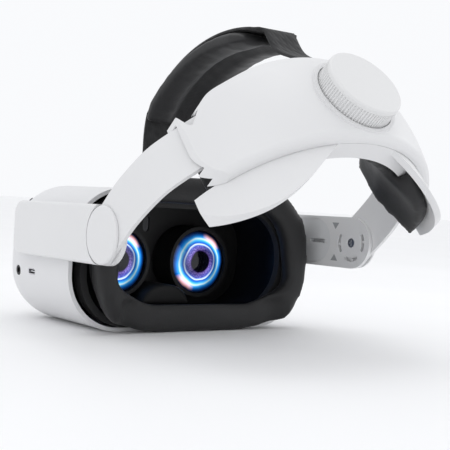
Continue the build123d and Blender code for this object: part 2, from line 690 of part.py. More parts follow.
def inner_shell():
    ends = panel(HOUSING_HALF * BAND_R[1] / HOUSING_R - 1.2, HOUSING_LOW - 4, HOUSING_TOP + 2, 10, 20)
    wall = sector(band_profile(BAND_R, HOUSING_LOW, HOUSING_TOP), 66) & rear_prism(ends)
    top = sector(band_profile((BAND_R[0], LOBE_R[1]), HOUSING_TOP - SKIN + 0.1, HOUSING_TOP), 52)
    under = sector(band_profile((BAND_R[0], LOBE_R[1]), HOUSING_LOW, HOUSING_LOW + SKIN - 0.1), 57)
    lobe = sector(band_profile(LOBE_R, -60, HOUSING_LOW + SKIN - 0.1), 68) & rear_prism(lobe_face())
    shell = wall + top + under + lobe + mirrored(lobe)
    for low in (11.3, -12.1):
        shell = shell + sector(band_profile((BAND_R[1] - 0.5, 81.0), low, low + 0.8), 34)
    for angle, w in SCREW_PLACES:
        shell = shell - radial_bar(1.3, BAND_R[0] - 1, BAND_R[1] + 1, angle, w)
        shell = shell - radial_bar(2.4, BAND_R[0] - 1, BAND_R[0] + 1.2, angle, w)
    ear_y = (-ARC_U - LOBE_R[1] + 1.2, -ARC_U - BAR_R + 1.6)
    ear = block((NECK_HALF + 1, NECK_HALF + 4), ear_y, (HOUSING_TOP - 1, BAR_W + 1.8))
    bar_end = NECK_HALF + 2
    bar = rod(1.2, (-bar_end, -ARC_U - BAR_R, BAR_W), (bar_end, -ARC_U - BAR_R, BAR_W))
    return shell + ear + mirrored(ear) + bar


def housing_screws():
    screws = []
    for angle, w in SCREW_PLACES:
        head = radial_bar(2.3, BAND_R[0] + 0.1, BAND_R[0] + 1.2, angle, w)
        shank = radial_bar(1.2, BAND_R[0] + 1.2, BAND_R[1] + 8.5, angle, w)
        screws.append(head + shank)
    return Compound(children=screws)


def rear_pad():
    """The left rear cushion: it follows the band and swells down behind the lobe."""
    back = BAND_R[0] - 0.3
    lobe_back = LOBE_R[0] - 0.3
    lobe_top = HOUSING_LOW - 0.3
    profile = Polygon(
        (PAD_R, HOUSING_TOP), (PAD_R, PAD_SLOPE_FROM), (PAD_LOBE_R, PAD_LOW), (lobe_back, PAD_LOW),
        (lobe_back, lobe_top), (back, lobe_top), (back, HOUSING_TOP), align=None,
    )
    face = Pos(0, -2.5) * RectangleRounded(134, 39, 18) + Pos(-56, -24) * Ellipse(19, 19)
    face = face & Pos(-50.3, -10) * Rectangle(100, 120)
    return sector(profile, 66) & rear_prism(face)


# ---- knob, shaft, racks ----------------------------------------------------------
def ribbed_face(radius, depth, ribs):
    """A circle with small square ribs all round."""
    points = []
    for index in range(ribs):
        for share, height in ((0.0, 0), (0.15, depth), (0.55, depth), (0.70, 0)):
            turn = 2 * math.pi * (index + share) / ribs
            reach = radius - depth + height
            points.append((reach * math.cos(turn), reach * math.sin(turn)))
    return make_face(Polyline(*points, close=True))


def knob_ring():
    ring = Rot(90, 0, 0) * extrude(ribbed_face(KNOB_R, 0.55, KNOB_RIDGES), 8.6)
    ring = Pos(0, -KNOB_BACK_U - 0.3, 0) * ring
    return ring - bar_u(KNOB_R - 3.5, KNOB_BACK_U - 1, KNOB_BACK_U + 8.9)


def knob_cap():
    disc = bar_u(KNOB_R - 0.1, KNOB_BACK_U + 8.9, KNOB_FACE_U)
    edge = disc.edges().sort_by(Axis.Y)[0]
    disc = fillet(edge, 1.4)
    spigot = bar_u(KNOB_R - 3.55, KNOB_BACK_U + 5.4, KNOB_BACK_U + 8.9)
    return disc + spigot


def pinion_face():
    points = []
    pitch = 2 * math.pi / PINION_TEETH
    for index in range(PINION_TEETH):
        for share, reach in TOOTH_SIDE:
            turn = (index + share) * pitch
            r = PINION_R + reach * MODULE
            points.append((r * math.cos(turn), r * math.sin(turn)))
    return make_face(Polyline(*points, close=True))


def knob_shaft():
    gear = Rot(90, 0, 0) * extrude(pinion_face(), 3.4)
    gear = Pos(0, -ARC_U - RACK_R[0] + 0.4, 0) * gear
    shaft = bar_u(SHAFT_R, ARC_U + RACK_R[0] + 2, KNOB_BACK_U + 5.4)
    return gear + shaft


def shaft_bush():
    sleeve = bar_u(SHAFT_R + 2.4, WELL_FLOOR_U - 2.6, WELL_FLOOR_U)
    flange = bar_u(SHAFT_R + 4.0, WELL_FLOOR_U - 3.8, WELL_FLOOR_U - 2.6)
    return sleeve + flange - bar_u(SHAFT_R + SHAFT_GAP, WELL_FLOOR_U - 5, WELL_FLOOR_U + 1)


def ratchet_ring():
    """Toothed ring on the floor of the knob's well that the knob clicks round."""
    face = ribbed_face(15.6, 0.8, 48) - Circle(12.0)
    ring = Rot(90, 0, 0) * extrude(face, 1.6)
    return Pos(0, -WELL_FLOOR_U, 0) * ring


def knob_spring():
    """Spring leaf under the knob's cap that clicks along the ratchet ring's ribs."""
    leaf = block((-7.0, 7.0), (-WELL_FLOOR_U - 1.8, -WELL_FLOOR_U - 0.6), (15.9, 16.7))
    foot = block((-1.4, 1.4), (-KNOB_BACK_U - 5.4, -WELL_FLOOR_U - 1.8), (15.9, 16.7))
    return leaf + foot


def rack():
    """The left rack: a curved strip above the pinion, toothed where it passes it."""
    low = PINION_R + 1.25
    middle = (RACK_R[0] + RACK_R[1]) / 2
    strip = sector(band_profile(RACK_R, low, PINION_R + RACK_TALL), 26.5)
    strip = Pos(0, -ARC_U, 0) * Rot(0, 0, -10.5) * Pos(0, ARC_U, 0) * strip
    pitch = math.degrees(math.pi * MODULE / middle)
    half = math.pi * MODULE / 4 - 0.16
    face = Polygon((-half - 0.45, low + 0.2), (half + 0.45, low + 0.2), (half - 0.35, PINION_R - 0.85),
                   (-half + 0.35, PINION_R - 0.85), align=None)
    tooth = facing(face, -ARC_U - RACK_R[0], -ARC_U - RACK_R[1])
    for index in range(-3, 7):
        turn = (index + 0.5) * pitch
        strip = strip + Pos(0, -ARC_U, 0) * Rot(0, 0, turn) * Pos(0, ARC_U, 0) * tooth
    return strip


# ---- strap over the head ----------------------------------------------------------
def arch_point(radius, angle):
    turn = math.radians(angle)
    return (CROWN_Y + radius * math.cos(turn), CROWN_Z + radius * math.sin(turn))


def arch_face(r_in, r_out, start, end):
    middle = (start + end) / 2
    return outline(
        ThreePointArc(arch_point(r_out, start), arch_point(r_out, middle), arch_point(r_out, end)),
        Line(arch_point(r_out, end), arch_point(r_in, end)),
        ThreePointArc(arch_point(r_in, end), arch_point(r_in, middle), arch_point(r_in, start)),
        Line(arch_point(r_in, start), arch_point(r_out, start)),
    )


def top_pad():
    face = arch_face(CROWN_R - TOP_PAD_THICK, CROWN_R - WEB_THICK, *PAD_ARC)
    return across(face, -TOP_PAD_HALF, TOP_PAD_HALF)


def top_webbing_front():
    start = arch_point(CROWN_R - WEB_THICK, PAD_ARC[0] - 0.3)
    high = (LOOP_Y + 1.4, start[1] - 8.0)
    low = (LOOP_Y + 1.4, SHELL_TOP + 5.5)
    outline = [
        start,
        (start[0] + 1.2, start[1] + 1.2),
        (high[0] + WEB_THICK, high[1]),
        (low[0] + WEB_THICK, low[1]),
        low,
        high,
    ]
    return across(Polygon(*outline, align=None), -WEB_HALF, WEB_HALF)


def strap_spot(u, w):
    """The eye-frame (Y, Z) of a point given in the strap's own frame."""
    tilt = math.radians(STRAP_TILT)
    y = PIVOT_Y - u * math.cos(tilt) + w * math.sin(tilt)
    z = PIVOT_Z + u * math.sin(tilt) + w * math.cos(tilt)
    return (y, z)


def top_webbing_rear():
    """Wide webbing over the pad, then a narrow neck that dives behind its bar."""
    inner = CROWN_R - WEB_THICK + 0.1
    wide = across(arch_face(inner, CROWN_R, PAD_ARC[0], WIDE_END), -WEB_HALF, WEB_HALF)
    tail_inner = ARC_U + TAIL_R[0]
    tail_outer = ARC_U + TAIL_R[1]
    low = HOUSING_TOP + 2.4
    neck = Polygon(
        arch_point(inner, WIDE_END - 0.7), arch_point(CROWN_R, WIDE_END - 0.7), NECK_BEND[0],
        strap_spot(tail_outer, CROWN_TOP + 2.0), strap_spot(tail_outer, low),
        strap_spot(tail_inner, low), strap_spot(tail_inner, CROWN_TOP + 0.8), NECK_BEND[1],
        align=None,
    )
    return wide + across(neck, -NECK_HALF, NECK_HALF)


# ---- every node, in the eye frame ---------------------------------------------------
def viewer_nodes():
    cup = lens_cup()
    glass = lens()
    bracket = face_bracket()
    pin = TEMPLE * hinge_pin()
    return {
        "front_shell": front_shell(),
        "rear_bezel": rear_bezel(),
        "mid_frame": mid_frame(),
        "light_shield": light_shield(),
        "display_panel": board_outline(118, 56, DISPLAY_Y[1], DISPLAY_Y[0]),
        "main_board": board_outline(134, 60, BOARD_Y[1], BOARD_Y[0], (0, 2)),
        "battery": board_outline(50, 42, BATTERY_Y[1], BATTERY_Y[0], (-34, 6)),
        "heat_sink": heat_sink(),
        "fan_housing": fan_housing(),
        "fan_rotor": fan_rotor(),
        "tracking_cameras_upper": tracking_cameras(CAMERA_UPPER),
        "tracking_cameras_lower": tracking_cameras(CAMERA_LOWER),
        "audio_jack": jack_socket(),
        "usb_c_port": usb_socket(),
        "power_button": power_button(),
        "power_led": power_led(),
        "volume_rocker": volume_rocker(),
        "rocker_cradle": rocker_cradle(),
        "proximity_sensor": proximity_sensor(),
        "ipd_rail_upper": ipd_rail(RAIL_Z),
        "ipd_rail_lower": ipd_rail(-RAIL_Z),
        "lens_cup_right": cup,
        "lens_cup_left": mirrored(cup),
        "lens_right": glass,
        "lens_left": mirrored(glass),
        "face_bracket": bracket,
        "face_cushion": face_cushion(),
        "nose_rest": nose_rest(),
        "top_strap_loop": top_strap_loop(),
        "arm_hinge_pin_right": pin,
        "arm_hinge_pin_left": mirrored(pin),
    }


def arm_nodes():
    right = {
        "side_arm": TEMPLE * side_arm(),
        "temple_sleeve": TEMPLE * temple_sleeve(),
        "speaker": TEMPLE * speaker(),
        "pivot_cap": TEMPLE * pivot_cap(),
        "pivot_screw": TEMPLE * pivot_screw(),
        "strap_arm": STRAP * strap_arm(),
    }
    nodes = {}
    for name, solid in right.items():
        nodes[name + "_right"] = solid
        nodes[name + "_left"] = mirrored(solid)
    return nodes


def housing_nodes():
    pad = rear_pad()
    strip = rack()
    local = {
        "outer_housing": outer_housing(),
        "inner_shell": inner_shell(),
        "housing_screws": housing_screws(),
        "rear_pad_left": pad,
        "rear_pad_right": mirrored(pad),
        "knob_ring": knob_ring(),
        "knob_cap": knob_cap(),
        "knob_shaft": knob_shaft(),
        "shaft_bush": shaft_bush(),
        "ratchet_ring": ratchet_ring(),
        "knob_spring": knob_spring(),
        "rack_left": strip,
        "rack_right": Rot(0, 180, 0) * strip,
    }
    return {name: STRAP * solid for name, solid in local.items()}


def strap_nodes():
    return {
        "top_pad": top_pad(),
        "top_webbing_front": top_webbing_front(),
        "top_webbing_rear": top_webbing_rear(),
    }


def write_nodes():
    os.makedirs("parts", exist_ok=True)
    nodes = viewer_nodes() | arm_nodes() | housing_nodes() | strap_nodes()
    to_row = Pos(0, EYE_FORWARD, EYE_HEIGHT)
    low = Vector(1e9, 1e9, 1e9)
    high = Vector(-1e9, -1e9, -1e9)
    for name, solid in nodes.items():
        placed = to_row * solid
        export_step(placed, os.path.join("parts", name + ".step"))
        box = placed.bounding_box()
        low = Vector(*(min(a, b) for a, b in zip(low, box.min)))
        high = Vector(*(max(a, b) for a, b in zip(high, box.max)))
    print(len(nodes), "nodes, box", low, high)


if __name__ == "__main__":
    write_nodes()
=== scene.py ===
import json
import math

import bmesh
import bpy
from mathutils import Matrix, Vector, noise


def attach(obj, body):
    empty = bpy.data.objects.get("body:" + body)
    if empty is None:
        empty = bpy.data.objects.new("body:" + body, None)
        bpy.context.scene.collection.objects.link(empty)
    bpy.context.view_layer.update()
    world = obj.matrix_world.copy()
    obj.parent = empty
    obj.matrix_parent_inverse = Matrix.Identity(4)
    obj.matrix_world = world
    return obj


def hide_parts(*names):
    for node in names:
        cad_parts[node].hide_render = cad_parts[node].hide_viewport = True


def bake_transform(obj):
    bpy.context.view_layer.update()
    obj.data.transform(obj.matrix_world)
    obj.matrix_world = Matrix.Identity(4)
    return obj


# A virtual reality headset with a rigid rear strap. The CAD nodes keep their
# shapes and get materials here; the padded and woven parts are made afresh.
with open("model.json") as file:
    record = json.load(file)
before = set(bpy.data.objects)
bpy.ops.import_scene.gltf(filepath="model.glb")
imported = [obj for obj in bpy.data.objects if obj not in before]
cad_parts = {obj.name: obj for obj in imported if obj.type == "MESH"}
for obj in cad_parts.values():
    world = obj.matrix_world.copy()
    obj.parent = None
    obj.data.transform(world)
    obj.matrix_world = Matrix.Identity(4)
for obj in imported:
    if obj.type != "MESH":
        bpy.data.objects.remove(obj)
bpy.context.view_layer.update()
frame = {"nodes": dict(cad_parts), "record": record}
record = frame["record"]
nodes = frame["nodes"]
MM = 0.001

# ---- dimensions of the frame, in millimetres, in the eye frame ---------------
# The eye frame starts midway between the lenses: +X right, +Y forward, +Z up.
EYE = Vector((0.0, 70.2, 39.5))        # eye frame origin in the row frame
HALF_IPD = 31.5
LENS_FACE_Y = 1.0
ARM_INNER = 87.4                       # inner faces of the side arms
PIVOT_Y, PIVOT_Z = -88.3, 19.5         # where the strap arms turn
STRAP_TILT = math.radians(41.8)

CUSHION_HALF = 77.0
CUSHION_FRONT_Y = -47.3
NOSE_GAP_SQUASH = 0.55                 # share of the depth lost beside the nose
NOSE_GAP_LIFT = 1.2
CHEEK_NARROWING = 0.28                 # share of the side bands' width lost at the cheeks

CROWN_Y, CROWN_Z = -94.0, 24.6         # centre of the arch over the head
PAD_FROM, PAD_TO = 37.4, 95.6          # ends of the pad, degrees up from forward
PAD_INNER_R, PAD_OUTER_R = 103.6, 113.5
PAD_HALF = 21.8
PAD_TAPER = 6.0                        # degrees over which the pad's ends thin out
CHANNEL_HALF, CHANNEL_DEPTH = 4.2, 4.6
RIB_X, RIB_HALF, RIB_RISE = 11.5, 6.5, 0.9
UNDERSIDE_LIFT = 0.8
PAD_RIPPLE = 0.35

WEB_R = 114.65
WEB_HALF, NECK_HALF = 17.0, 11.0
WEB_THICK = 1.5

ARROW_Y = -73.2
ARROW_PLACES = ((30.2, -1), (8.8, 1))  # height, and which way each points
ARROW_HALF, ARROW_FOOT, ARROW_TIP = 3.2, 1.6, 2.6
ARROW_SUNK = 0.04
ARROW_THICK = 0.18

# ---- the painted glow on the lenses, in metres -------------------------------
PAINTED_GLOW_RADIUS = 0.022
RING_WOBBLE = 0.0026
FLARE_TURN = 0.95                      # radians up from the wearer's right
# Colours of the painted glow's rings on the lenses, from the pupil outwards.
PAINTED_GLOW_RINGS = (
    (0.0, (0, 0, 0)),
    (0.31, (0, 0, 0.002)),
    (0.35, (0.03, 0.015, 0.13)),
    (0.42, (0.015, 0.025, 0.2)),
    (0.50, (0.03, 0.06, 0.35)),
    (0.53, (0.35, 0.5, 0.95)),
    (0.55, (0.8, 0.92, 1.0)),
    (0.575, (0.03, 0.12, 0.5)),
    (0.62, (0.01, 0.2, 0.75)),
    (0.67, (0.12, 0.6, 1.0)),
    (0.71, (0.7, 0.95, 1.0)),
    (0.75, (0.04, 0.42, 0.95)),
    (0.81, (0.006, 0.14, 0.55)),
    (0.87, (0.002, 0.025, 0.12)),
    (0.93, (0, 0, 0)),
)
# Bands and colours of the painted glow's violet specks and warm painted flares.
SPECK_GLOW_BAND = ((0.0, 0), (0.33, 0), (0.37, 1), (0.47, 0.7), (0.53, 0))
FLARE_BAND = ((0.0, 0), (0.70, 0), (0.78, 1), (0.84, 0.6), (0.90, 0))
SPECK_GLOW_COLOUR = (0.55, 0.4, 1.0, 1)
FLARE_COLOUR = (1.0, 0.42, 0.05, 1)

# ---- studio, in metres ---------------------------------------------------------
FLOOR_HALF = 30.0
CAMERA_PLACE = Vector((-0.35881, -0.48620, 0.07817))
CAMERA_RIGHT = Vector((0.8037, -0.5925, 0.0556))
CAMERA_SIGHT = Vector((0.5941, 0.8041, -0.0190))
CAMERA_LENS = 80.63
CAMERA_SENSOR = 36.0


def at(x, y, z):
    """A point of the eye frame, in metres in the row frame."""
    return (Vector((x, y, z)) + EYE) * MM


def arch(radius, degrees, x=0.0):
    """A point of the arch over the head, in metres in the row frame."""
    turn = math.radians(degrees)
    return at(x, CROWN_Y + radius * math.cos(turn), CROWN_Z + radius * math.sin(turn))


def strap_spot(u, w):
    """A point given in the strap's own frame: u back along it, w square to it."""
    y = PIVOT_Y - u * math.cos(STRAP_TILT) + w * math.sin(STRAP_TILT)
    return at(0, y, PIVOT_Z + u * math.sin(STRAP_TILT) + w * math.cos(STRAP_TILT))


def smooth(low, high, value):
    """0 before low and 1 past high, with an even start and stop."""
    share = min(1.0, max(0.0, (value - low) / (high - low)))
    return share * share * (3 - 2 * share)


# ---- shader helpers ------------------------------------------------------------
def new_material(name):
    material = bpy.data.materials.new(name)
    material.use_nodes = True
    tree = material.node_tree
    return material, tree, tree.nodes["Principled BSDF"]


def add(tree, kind, inputs=None, **settings):
    node = tree.nodes.new(kind)
    for key, value in settings.items():
        setattr(node, key, value)
    for key, value in (inputs or {}).items():
        node.inputs[key].default_value = value
    return node


def ramp(tree, source, stops):
    """A colour ramp fed by source; a stop's colour may be a single grey."""
    node = tree.nodes.new("ShaderNodeValToRGB")
    elements = node.color_ramp.elements
    while len(elements) < len(stops):
        elements.new(0.5)
    for element, (place, colour) in zip(elements, stops):
        shade = colour if isinstance(colour, tuple) else (colour, colour, colour)
        element.position = place
        element.color = (*shade, 1.0)
    tree.links.new(source, node.inputs["Fac"])
    return node.outputs["Color"]


def blended(tree, blend, first, second):
    """Two colours multiplied or added; the second may be a plain colour."""
    node = add(tree, "ShaderNodeMixRGB", {"Fac": 1.0}, blend_type=blend)
    tree.links.new(first, node.inputs[1])
    if isinstance(second, tuple):
        node.inputs[2].default_value = second
    else:
        tree.links.new(second, node.inputs[2])
    return node.outputs["Color"]


def set_shader(shader, **values):
    for key, value in values.items():
        shader.inputs[key.replace("_", " ")].default_value = value


def tinted(tree, shader, colour, spread, scale):
    """The base colour, with a slow drift about it."""
    coord = add(tree, "ShaderNodeTexCoord")
    drift = add(tree, "ShaderNodeTexNoise", {"Scale": scale, "Detail": 3.0})
    low = tuple(c * (1 - spread) for c in colour)
    high = tuple(min(1.0, c * (1 + spread)) for c in colour)
    tree.links.new(coord.outputs["Object"], drift.inputs["Vector"])
    mix = ramp(tree, drift.outputs["Fac"], [(0.35, low), (0.65, high)])
    tree.links.new(mix, shader.inputs["Base Color"])
    return coord


def rough_range(tree, shader, coord, scale, low, high):
    """Roughness that wanders between low and high."""
    speckle = add(tree, "ShaderNodeTexNoise", {"Scale": scale, "Detail": 2.0})
    spread = add(tree, "ShaderNodeMapRange", {"To Min": low, "To Max": high})
    tree.links.new(coord.outputs["Object"], speckle.inputs["Vector"])
    tree.links.new(speckle.outputs["Fac"], spread.inputs["Value"])
    tree.links.new(spread.outputs["Result"], shader.inputs["Roughness"])


def bumped(tree, shader, height, strength, distance):
    bump = add(tree, "ShaderNodeBump", {"Strength": strength, "Distance": distance})
    tree.links.new(height, bump.inputs["Height"])
    tree.links.new(bump.outputs["Normal"], shader.inputs["Normal"])


# ---- materials -----------------------------------------------------------------
def plastic(name, colour, roughness=(0.32, 0.42), grain=2600.0, strength=0.12, spread=0.015):
    """Moulded plastic with a fine spark-eroded grain."""
    material, tree, shader = new_material(name)
    coord = tinted(tree, shader, colour, spread, 9.0)
    rough_range(tree, shader, coord, 60.0, *roughness)
    fine = add(tree, "ShaderNodeTexNoise", {"Scale": grain, "Detail": 2.0})
    tree.links.new(coord.outputs["Object"], fine.inputs["Vector"])
    bumped(tree, shader, fine.outputs["Fac"], strength, 0.00005)
    return material


def leatherette(name, colour, grain=520.0):
    """Soft coated fabric: pebbled cells with creases between them."""
    material, tree, shader = new_material(name)
    coord = tinted(tree, shader, colour, 0.25, 24.0)
    rough_range(tree, shader, coord, 90.0, 0.42, 0.6)
    cells = add(tree, "ShaderNodeTexVoronoi", {"Scale": grain}, feature="DISTANCE_TO_EDGE")
    cap = add(tree, "ShaderNodeMapRange", {"From Max": 0.18})
    wrinkle = add(tree, "ShaderNodeTexNoise", {"Scale": 70.0, "Detail": 4.0})
    both = add(tree, "ShaderNodeMath", {1: 0.35}, operation="MULTIPLY_ADD")
    tree.links.new(coord.outputs["Object"], cells.inputs["Vector"])
    tree.links.new(coord.outputs["Object"], wrinkle.inputs["Vector"])
    tree.links.new(cells.outputs["Distance"], cap.inputs["Value"])
    tree.links.new(cap.outputs["Result"], both.inputs[0])
    tree.links.new(wrinkle.outputs["Fac"], both.inputs[2])
    bumped(tree, shader, both.outputs["Value"], 0.35, 0.0003)
    set_shader(shader, Sheen_Weight=0.04, Sheen_Roughness=0.4, Specular_IOR_Level=0.42)
    return material


def woven(name, colour, pitch=0.0022):
    """Woven tape: slanting ribs crossed by warp threads, pitch metres apart."""
    material, tree, shader = new_material(name)
    coord = tinted(tree, shader, colour, 0.3, 160.0)
    both = add(tree, "ShaderNodeMath", operation="MAXIMUM")
    threads = {"Scale": 0.155 / pitch, "Distortion": 0.6}
    for index, bands in enumerate(("DIAGONAL", "X")):
        wave = add(tree, "ShaderNodeTexWave", threads, bands_direction=bands)
        tree.links.new(coord.outputs["Object"], wave.inputs["Vector"])
        tree.links.new(wave.outputs["Fac"], both.inputs[index])
    bumped(tree, shader, both.outputs["Value"], 0.7, 0.0004)
    set_shader(shader, Roughness=0.85, Sheen_Weight=0.06, Sheen_Roughness=0.6)
    return material


def metal(name, colour, roughness):
    material, tree, shader = new_material(name)
    coord = tinted(tree, shader, colour, 0.05, 40.0)
    rough_range(tree, shader, coord, 400.0, roughness, roughness + 0.12)
    set_shader(shader, Metallic=1.0)
    return material


def lens_polar(tree, centre):
    """The place on the lens, its share of the painted glow's radius, and its angle."""
    links = tree.links
    coord = add(tree, "ShaderNodeTexCoord")
    place = add(tree, "ShaderNodeVectorMath", {1: tuple(centre)}, operation="SUBTRACT")
    split = add(tree, "ShaderNodeSeparateXYZ")
    flat = add(tree, "ShaderNodeCombineXYZ")
    size = add(tree, "ShaderNodeVectorMath", operation="LENGTH")
    turn = add(tree, "ShaderNodeMath", operation="ARCTAN2")
    links.new(coord.outputs["Object"], place.inputs[0])
    links.new(place.outputs["Vector"], split.inputs["Vector"])
    links.new(split.outputs["X"], flat.inputs["X"])
    links.new(split.outputs["Z"], flat.inputs["Y"])
    links.new(flat.outputs["Vector"], size.inputs[0])
    links.new(split.outputs["Z"], turn.inputs[0])
    links.new(split.outputs["X"], turn.inputs[1])
    wobble = add(tree, "ShaderNodeTexNoise", {"Scale": 70.0, "Detail": 2.0})
    shift = add(tree, "ShaderNodeMath", {1: RING_WOBBLE}, operation="MULTIPLY_ADD")
    start = RING_WOBBLE / 2
    reach = {"From Min": start, "From Max": start + PAINTED_GLOW_RADIUS}
    share = add(tree, "ShaderNodeMapRange", reach)
    links.new(flat.outputs["Vector"], wobble.inputs["Vector"])
    links.new(wobble.outputs["Fac"], shift.inputs[0])
    links.new(size.outputs["Value"], shift.inputs[2])
    links.new(shift.outputs["Value"], share.inputs["Value"])
    return flat.outputs["Vector"], share.outputs["Result"], turn.outputs["Value"]


def painted_glow_specks(tree, flat, share):
    """Fine violet specks of painted glow in a band round the pupil."""
    dots = add(tree, "ShaderNodeTexVoronoi", {"Scale": 900.0})
    tree.links.new(flat, dots.inputs["Vector"])
    sparkle = ramp(tree, dots.outputs["Distance"], [(0.0, 1.0), (0.22, 0.35), (1.0, 0.0)])
    specks = blended(tree, "MULTIPLY", sparkle, ramp(tree, share, SPECK_GLOW_BAND))
    return blended(tree, "MULTIPLY", specks, SPECK_GLOW_COLOUR)


def lens_flares(tree, share, doubled):
    """Two warm painted flares at the rim, opposite each other."""
    wave = add(tree, "ShaderNodeMath", operation="COSINE")
    tree.links.new(doubled, wave.inputs[0])
    flare = ramp(tree, wave.outputs["Value"], [(0.0, 0), (0.6, 0), (0.9, 1)])
    hot = blended(tree, "MULTIPLY", ramp(tree, share, FLARE_BAND), flare)
    return blended(tree, "MULTIPLY", hot, FLARE_COLOUR)


def lens_gain(tree, share, doubled):
    """The painted glow's brightness, which winds outwards as a two-armed spiral."""
    spiral = add(tree, "ShaderNodeMath", {1: 9.0}, operation="MULTIPLY_ADD")
    ripple = add(tree, "ShaderNodeMath", operation="COSINE")
    spread = {"From Min": -1.0, "From Max": 1.0, "To Min": 0.5, "To Max": 1.5}
    gain = add(tree, "ShaderNodeMapRange", spread)
    tree.links.new(share, spiral.inputs[0])
    tree.links.new(doubled, spiral.inputs[2])
    tree.links.new(spiral.outputs["Value"], ripple.inputs[0])
    tree.links.new(ripple.outputs["Value"], gain.inputs["Value"])
    return gain.outputs["Result"]


def painted_lens_glow(name, centre):
    """A lens with a painted glow: its emission paints a dark pupil inside bright rings."""
    material, tree, shader = new_material(name)
    flat, share, turn = lens_polar(tree, centre)
    double = add(tree, "ShaderNodeMath", {1: 2.0, 2: -2 * FLARE_TURN}, operation="MULTIPLY_ADD")
    tree.links.new(turn, double.inputs[0])
    doubled = double.outputs["Value"]
    rings = ramp(tree, share, PAINTED_GLOW_RINGS)
    glow = blended(tree, "ADD", rings, painted_glow_specks(tree, flat, share))
    glow = blended(tree, "ADD", glow, lens_flares(tree, share, doubled))
    tree.links.new(glow, shader.inputs["Emission Color"])
    tree.links.new(lens_gain(tree, share, doubled), shader.inputs["Emission Strength"])
    set_shader(shader, Roughness=0.06, Base_Color=(0.004, 0.005, 0.01, 1))
    return material


finishes = {
    "white_shell": plastic("shell_white", (0.73, 0.73, 0.74)),
    "white_strap": plastic("strap_white", (0.75, 0.75, 0.755)),
    "white_knob": plastic("knob_white", (0.74, 0.74, 0.74), roughness=(0.36, 0.46)),
    "grey_plastic": plastic("arm_grey", (0.70, 0.71, 0.72), roughness=(0.4, 0.5)),
    "black_plastic": plastic("black_textured", (0.012, 0.012, 0.013), (0.5, 0.62), 1400.0, 0.4, 0.2),
    "black_gloss": plastic("blue_black_gloss", (0.004, 0.006, 0.012), (0.16, 0.26), 900.0, 0.05, 0.3),
    "cushion_foam": leatherette("leatherette_face", (0.011, 0.011, 0.012)),
    "pad_foam": leatherette("leatherette_pads", (0.014, 0.014, 0.015)),
    "webbing": woven("woven_tape", (0.022, 0.022, 0.023)),
    "soft_rubber": plastic("soft_rubber", (0.016, 0.016, 0.017), (0.6, 0.72), 1200.0, 0.3, 0.2),
    "steel": metal("steel", (0.6, 0.6, 0.62), 0.28),
    "alloy": metal("alloy", (0.7, 0.71, 0.73), 0.4),
    "board": plastic("board_green", (0.02, 0.12, 0.06), (0.3, 0.4), 900.0, 0.1, 0.2),
    "cell": plastic("cell_wrap", (0.05, 0.05, 0.055), (0.4, 0.5), 900.0, 0.1, 0.1),
    "led": plastic("led_clear", (0.7, 0.74, 0.78), (0.1, 0.2), 900.0, 0.02, 0.02),
}


def dress_nodes():
    """Gives every CAD node the finish that its slot names."""
    for part in record["subparts"]:
        name, slot = part["node"], part["material_slot"]
        # The lenses get a painted glow: emission standing in for the light seen on them.
        if slot == "lens_glass":
            side = 1 if name.endswith("right") else -1
            material = painted_lens_glow("glow_" + name, at(side * HALF_IPD, LENS_FACE_Y, 0))
        else:
            material = finishes[slot]
        data = nodes[name].data
        data.materials.clear()
        data.materials.append(material)


# ---- piece builders --------------------------------------------------------------
def mesh_piece(name, points, faces, material, rounded=True):
    data = bpy.data.meshes.new(name)
    data.from_pydata([tuple(p) for p in points], [], faces)
    data.update()
    work = bmesh.new()
    work.from_mesh(data)
    bmesh.ops.recalc_face_normals(work, faces=work.faces)
    work.to_mesh(data)
    work.free()
    for face in data.polygons:
        face.use_smooth = rounded
    data.materials.append(material)
    piece = bpy.data.objects.new(name, data)
    bpy.context.scene.collection.objects.link(piece)
    return piece


def apply_modifiers(piece):
    bpy.context.view_layer.update()
    graph = bpy.context.evaluated_depsgraph_get()
    data = bpy.data.meshes.new_from_object(piece.evaluated_get(graph))
    piece.modifiers.clear()
    piece.data = data
    for face in data.polygons:
        face.use_smooth = True


def soft_copy(node, name, material, voxel, rounds):
    """A padded cover made from a plain CAD solid: remeshed, then relaxed."""
    piece = bpy.data.objects.new(name, nodes[node].data.copy())
    bpy.context.scene.collection.objects.link(piece)
    remesh = piece.modifiers.new("remesh", "REMESH")
    remesh.mode = "VOXEL"
    remesh.voxel_size = voxel
    relax = piece.modifiers.new("relax", "SMOOTH")
    relax.factor = 0.6
    relax.iterations = rounds
    apply_modifiers(piece)
    piece.data.materials.clear()
    piece.data.materials.append(material)
    return piece


def swell(piece, swelling, wavelength=0.03, depth=0.0005):
    """Pushes a padded piece out a little, unevenly, like foam under leather."""
    data = piece.data
    normals = [v.normal.copy() for v in data.vertices]
    for vertex, normal in zip(data.vertices, normals):
        uneven = noise.noise(vertex.co / wavelength) * depth
        vertex.co += normal * (swelling + uneven)


def strip(name, path, widths, across=8):
    """A woven tape along a path of points square to X, widths[i] wide at path[i]."""
    points, faces = [], []
    for spot, width in zip(path, widths):
        for step in range(across + 1):
            points.append(Vector(((step / across - 0.5) * width, spot.y, spot.z)))
    row = across + 1
    for i in range(len(path) - 1):
        for j in range(across):
            a = i * row + j
            faces.append((a, a + 1, a + row + 1, a + row))
    piece = mesh_piece(name, points, faces, finishes["webbing"])
    solid = piece.modifiers.new("thickness", "SOLIDIFY")
    solid.thickness = WEB_THICK * MM
    solid.offset = 0.0
    apply_modifiers(piece)
    return piece


